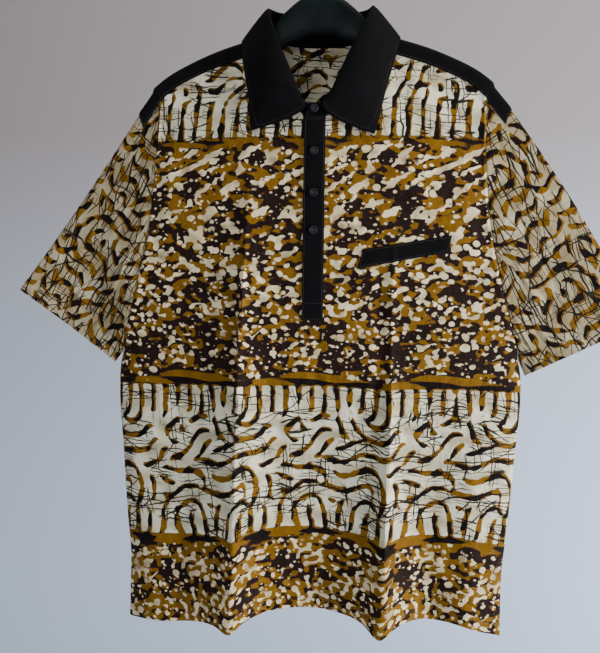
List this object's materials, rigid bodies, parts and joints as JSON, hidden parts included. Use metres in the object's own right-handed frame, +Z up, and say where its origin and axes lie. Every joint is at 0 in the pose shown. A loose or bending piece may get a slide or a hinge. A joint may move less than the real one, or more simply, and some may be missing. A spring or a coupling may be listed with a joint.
{
  "type": "short-sleeve shirt on a hanger",
  "caption": "Printed short-sleeve shirt with black collar, placket, shoulder strips and slanted pocket welt, hanging on a moulded hanger.",
  "frame": {"origin": "inside top of the hanger's hook, where a rail carries it", "axes": "+Z up, +X towards the wearer's left sleeve, -Y out of the chest"},
  "size_m": [0.809, 0.0954, 0.9079],
  "materials": {
    "printed_cotton": "crisp waxed cotton with a cream, ochre and near-black print",
    "black_cotton": "plain black cotton, topstitched",
    "button": "satin",
    "hanger": "satin moulded plastic"
  },
  "bodies": {
    "root": {"front_panel": "printed_cotton", "back_panel": "printed_cotton", "sleeve_left": "printed_cotton", "sleeve_right": "printed_cotton", "shoulder_strip_left": "black_cotton", "shoulder_strip_right": "black_cotton", "collar_stand": "black_cotton", "collar_leaf": "black_cotton", "placket": "black_cotton", "pocket_welt": "black_cotton", "button_neck": "button", "button_top": "button", "button_middle": "button", "button_low": "button", "hanger": "hanger"}
  },
  "joints": []
}
